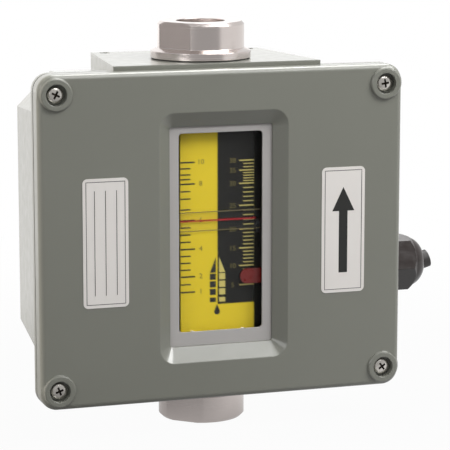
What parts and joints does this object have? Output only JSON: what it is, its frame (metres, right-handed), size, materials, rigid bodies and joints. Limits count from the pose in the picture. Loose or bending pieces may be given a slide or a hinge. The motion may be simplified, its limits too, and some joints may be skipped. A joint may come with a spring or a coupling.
{
  "type": "variable area flow meter",
  "caption": "In-line piston flow meter with tapped end fittings, a die-cast case with a scale window, a magnetic pointer and an adjustable alarm switch with a side cable gland.",
  "frame": {"origin": "centre of the inlet port's mouth, on the bottom fitting's end face", "axes": "+Z along the flow, from the inlet up to the outlet; -Y out of the window; +X to the cable gland"},
  "size_m": [0.1839, 0.0698, 0.168],
  "materials": {
    "painted_case": "grey-green stoving paint on die-cast metal, satin",
    "seal_rubber": "matt",
    "screw_steel": "bright zinc plated",
    "bezel_grey": "satin light grey moulding",
    "lens_clear": "clear polycarbonate sheet, polished",
    "label_white": "white film label, satin, blank",
    "fitting_aluminium": "turned and bright anodised",
    "inner_steel": "satin stainless steel",
    "magnet_ferrite": "sintered ferrite, matt",
    "piston_plastic": "moulded acetal, satin",
    "scale_print": "printed sheet, black and yellow, satin",
    "pointer_clear": "clear acrylic vane",
    "signal_red": "red moulding",
    "switch_black": "moulded phenolic, matt",
    "terminal_brass": "stamped brass",
    "gland_plastic": "dark brown-black nylon, satin",
    "cable_jacket": "black cable jacket, satin",
    "core_insulation": "insulated cores"
  },
  "bodies": {
    "housing": {"bottom_end_fitting": "fitting_aluminium", "bottom_neck_seal": "seal_rubber", "bottom_o_ring": "seal_rubber", "cable_cores": "core_insulation", "cable_stub": "cable_jacket", "cover_gasket": "seal_rubber", "cover_screws": "screw_steel", "earth_screw": "screw_steel", "enclosure_base": "painted_case", "enclosure_cover": "painted_case", "gland_body": "gland_plastic", "gland_dome_nut": "gland_plastic", "gland_insert": "seal_rubber", "gland_locknut": "gland_plastic", "gland_washer": "seal_rubber", "label_left_plate": "label_white", "label_right_plate": "label_white", "lower_scale_clamp": "fitting_aluminium", "lower_spider": "inner_steel", "meter_tube": "fitting_aluminium", "metering_pin": "inner_steel", "pin_nuts": "inner_steel", "rail_screws": "screw_steel", "rail_standoffs": "inner_steel", "return_spring": "inner_steel", "scale_plate": "scale_print", "scale_screws": "screw_steel", "switch_rail": "inner_steel", "terminal_block": "switch_black", "terminal_screws": "screw_steel", "top_end_fitting": "fitting_aluminium", "top_neck_seal": "seal_rubber", "top_o_ring": "seal_rubber", "upper_scale_clamp": "fitting_aluminium", "upper_spider": "inner_steel", "window_bezel": "bezel_grey", "window_clamp_screws": "screw_steel", "window_clamps": "inner_steel", "window_gasket": "seal_rubber", "window_lens": "lens_clear"},
    "piston": {"flow_piston": "piston_plastic", "piston_magnet": "magnet_ferrite", "orifice_disc": "inner_steel"},
    "follower": {"follower_ring": "piston_plastic", "follower_magnet": "magnet_ferrite", "follower_cap": "piston_plastic", "pointer_vane": "pointer_clear", "pointer_line": "signal_red"},
    "set_point": {"switch_carriage": "inner_steel", "microswitch_body": "switch_black", "switch_terminals": "terminal_brass", "switch_screws": "screw_steel", "set_point_pointer": "signal_red", "clamp_thumbscrew": "screw_steel", "clamp_nut": "screw_steel", "lever_pin": "screw_steel"},
    "lever": {"switch_lever": "inner_steel", "lever_roller": "piston_plastic", "roller_axle": "screw_steel"},
    "plunger": {"switch_plunger": "signal_red"}
  },
  "joints": [
    {"name": "flow_slide", "type": "slide", "parent": "housing", "child": "piston", "axis": [0, 0, 1], "range_m": [-0.034, 0.025], "stiffness_N_per_m": 150, "deforming": ["return_spring"]},
    {"name": "follower_slide", "type": "slide", "parent": "housing", "child": "follower", "axis": [0, 0, 1], "range_m": [-0.034, 0.025]},
    {"name": "set_point_slide", "type": "slide", "parent": "housing", "child": "set_point", "axis": [0, 0, 1], "range_m": [-0.01, 0.0485]},
    {"name": "lever_hinge", "type": "hinge", "parent": "set_point", "child": "lever", "pos_m": [0.0255, -0.015, 0.0725], "axis": [0, -1, 0], "range_deg": [0, 5], "stiffness_Nm_per_rad": 0.02, "springref_deg": -2.86},
    {"name": "plunger_slide", "type": "slide", "parent": "set_point", "child": "plunger", "axis": [1, 0, 0], "range_m": [0, 0.0006]}
  ],
  "couplings": [
    {"joint": "follower_slide", "follows": "flow_slide", "ratio": 1},
    {"joint": "plunger_slide", "follows": "lever_hinge", "m_per_rad": 0.006}
  ]
}
